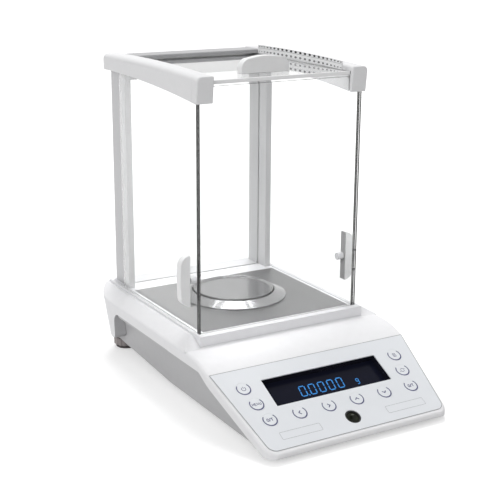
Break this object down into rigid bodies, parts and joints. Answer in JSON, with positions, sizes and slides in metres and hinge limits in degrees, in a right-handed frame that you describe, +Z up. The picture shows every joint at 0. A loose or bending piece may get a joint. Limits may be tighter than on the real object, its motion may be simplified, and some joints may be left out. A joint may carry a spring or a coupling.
{
  "type": "analytical balance",
  "caption": "Bench balance with a round pan in a glass draught shield with sliding side and top doors, a sloping keypad panel with a display, and levelling feet.",
  "frame": {"origin": "on the table, under the middle of the base", "axes": "+X to the right when facing the display, +Y to the rear, +Z up"},
  "size_m": [0.21, 0.3391, 0.3098],
  "materials": {
    "housing": "fine-textured white moulding",
    "tub": "satin pale grey moulding",
    "overlay": "satin keypad film",
    "key_film": "satin keypad film, embossed",
    "bezel": "gloss near-black",
    "display_glass": "smoked display window",
    "black_module": "matt black",
    "circuit_board": "solder-masked board",
    "black_plastic": "matt black moulding",
    "vial_glass": "clear vial of tinted spirit",
    "plinth_metal": "satin powder coat",
    "steel_plate": "fine brushed",
    "post_metal": "satin anodised",
    "pane_glass": "clear float glass, ground edges",
    "handle_plastic": "satin white moulding",
    "knob_plastic": "satin light grey",
    "bumper_rubber": "soft black",
    "roof_plastic": "fine-textured light grey moulding",
    "strip_plastic": "satin grey perforated strip",
    "pan_steel": "bright spun stainless steel",
    "machined_aluminium": "machined",
    "screw_steel": "zinc-plated steel",
    "magnet_steel": "blackened steel",
    "foot_rubber": "dark grey rubber",
    "wheel_plastic": "brown-grey moulding"
  },
  "bodies": {
    "base": {"upper_housing": "housing", "lower_housing": "tub", "panel_overlay": "overlay", "display_bezel": "bezel", "display_window": "display_glass", "display_module": "black_module", "keypad_board": "circuit_board", "level_holder": "black_plastic", "level_vial": "vial_glass", "dc_inlet": "black_plastic", "serial_port": "black_plastic", "chamber_plinth": "plinth_metal", "floor_plate": "steel_plate", "left_post": "post_metal", "right_post": "post_metal", "rear_glass": "pane_glass", "front_glass": "pane_glass", "left_arm_cap": "roof_plastic", "right_arm_cap": "roof_plastic", "left_arm": "roof_plastic", "right_arm": "roof_plastic", "right_vent_strip": "strip_plastic", "rear_crossbar": "roof_plastic", "rear_roof_cover": "roof_plastic", "load_receptor": "machined_aluminium", "load_cell": "machined_aluminium", "cell_base": "machined_aluminium", "cell_screws": "screw_steel", "magnet_pot": "magnet_steel", "coil_lever": "machined_aluminium", "main_board": "circuit_board", "front_feet": "foot_rubber", "housing_screws": "screw_steel"},
    "left_door": {"left_door_glass": "pane_glass", "left_door_handle": "handle_plastic", "left_door_knob": "knob_plastic", "left_door_bumpers": "bumper_rubber"},
    "right_door": {"right_door_glass": "pane_glass", "right_door_handle": "handle_plastic", "right_door_knob": "knob_plastic", "right_door_bumpers": "bumper_rubber"},
    "top_door": {"top_door_glass": "pane_glass", "top_door_trim": "handle_plastic", "top_door_handle": "handle_plastic"},
    "pan": {"weighing_pan": "pan_steel"},
    "ring": {"draft_ring": "pan_steel"},
    "left_foot": {"left_foot_pad": "foot_rubber"},
    "left_foot_wheel": {"left_foot_screw": "wheel_plastic"},
    "right_foot": {"right_foot_pad": "foot_rubber"},
    "right_foot_wheel": {"right_foot_screw": "wheel_plastic"},
    "left_upper_button": {"left_upper_key": "key_film"},
    "left_middle_button": {"left_middle_key": "key_film"},
    "left_lower_button": {"left_lower_key": "key_film"},
    "right_upper_button": {"right_upper_key": "key_film"},
    "right_middle_button": {"right_middle_key": "key_film"},
    "right_lower_button": {"right_lower_key": "key_film"},
    "back_button": {"back_key": "key_film"},
    "forward_button": {"forward_key": "key_film"},
    "up_button": {"up_key": "key_film"},
    "down_button": {"down_key": "key_film"}
  },
  "joints": [
    {"name": "left_door_slide", "type": "slide", "parent": "base", "child": "left_door", "axis": [0, 1, 0], "range_m": [0, 0.126]},
    {"name": "right_door_slide", "type": "slide", "parent": "base", "child": "right_door", "axis": [0, 1, 0], "range_m": [0, 0.126]},
    {"name": "top_door_slide", "type": "slide", "parent": "base", "child": "top_door", "axis": [0, 1, 0], "range_m": [0, 0.123]},
    {"name": "pan_lift", "type": "slide", "parent": "base", "child": "pan", "axis": [0, 0, 1], "range_m": [0, 0.04]},
    {"name": "ring_lift", "type": "slide", "parent": "base", "child": "ring", "axis": [0, 0, 1], "range_m": [0, 0.04]},
    {"name": "left_upper_press", "type": "slide", "parent": "base", "child": "left_upper_button", "axis": [0, 0.4446, -0.8957], "range_m": [0, 0.0004], "stiffness_N_per_m": 2500},
    {"name": "left_middle_press", "type": "slide", "parent": "base", "child": "left_middle_button", "axis": [0, 0.4446, -0.8957], "range_m": [0, 0.0004], "stiffness_N_per_m": 2500},
    {"name": "left_lower_press", "type": "slide", "parent": "base", "child": "left_lower_button", "axis": [0, 0.4446, -0.8957], "range_m": [0, 0.0004], "stiffness_N_per_m": 2500},
    {"name": "right_upper_press", "type": "slide", "parent": "base", "child": "right_upper_button", "axis": [0, 0.4446, -0.8957], "range_m": [0, 0.0004], "stiffness_N_per_m": 2500},
    {"name": "right_middle_press", "type": "slide", "parent": "base", "child": "right_middle_button", "axis": [0, 0.4446, -0.8957], "range_m": [0, 0.0004], "stiffness_N_per_m": 2500},
    {"name": "right_lower_press", "type": "slide", "parent": "base", "child": "right_lower_button", "axis": [0, 0.4446, -0.8957], "range_m": [0, 0.0004], "stiffness_N_per_m": 2500},
    {"name": "back_press", "type": "slide", "parent": "base", "child": "back_button", "axis": [0, 0.4446, -0.8957], "range_m": [0, 0.0004], "stiffness_N_per_m": 2500},
    {"name": "forward_press", "type": "slide", "parent": "base", "child": "forward_button", "axis": [0, 0.4446, -0.8957], "range_m": [0, 0.0004], "stiffness_N_per_m": 2500},
    {"name": "up_press", "type": "slide", "parent": "base", "child": "up_button", "axis": [0, 0.4446, -0.8957], "range_m": [0, 0.0004], "stiffness_N_per_m": 2500},
    {"name": "down_press", "type": "slide", "parent": "base", "child": "down_button", "axis": [0, 0.4446, -0.8957], "range_m": [0, 0.0004], "stiffness_N_per_m": 2500},
    {"name": "left_foot_rise", "type": "slide", "parent": "base", "child": "left_foot", "axis": [0, 0, -1], "range_m": [0, 0.006]},
    {"name": "left_foot_turn", "type": "hinge", "parent": "left_foot", "child": "left_foot_wheel", "pos_m": [-0.078, 0.142, 0.007], "axis": [0, 0, 1], "range_deg": [0, 2160]},
    {"name": "right_foot_rise", "type": "slide", "parent": "base", "child": "right_foot", "axis": [0, 0, -1], "range_m": [0, 0.006]},
    {"name": "right_foot_turn", "type": "hinge", "parent": "right_foot", "child": "right_foot_wheel", "pos_m": [0.078, 0.142, 0.007], "axis": [0, 0, 1], "range_deg": [0, 2160]}
  ]
}
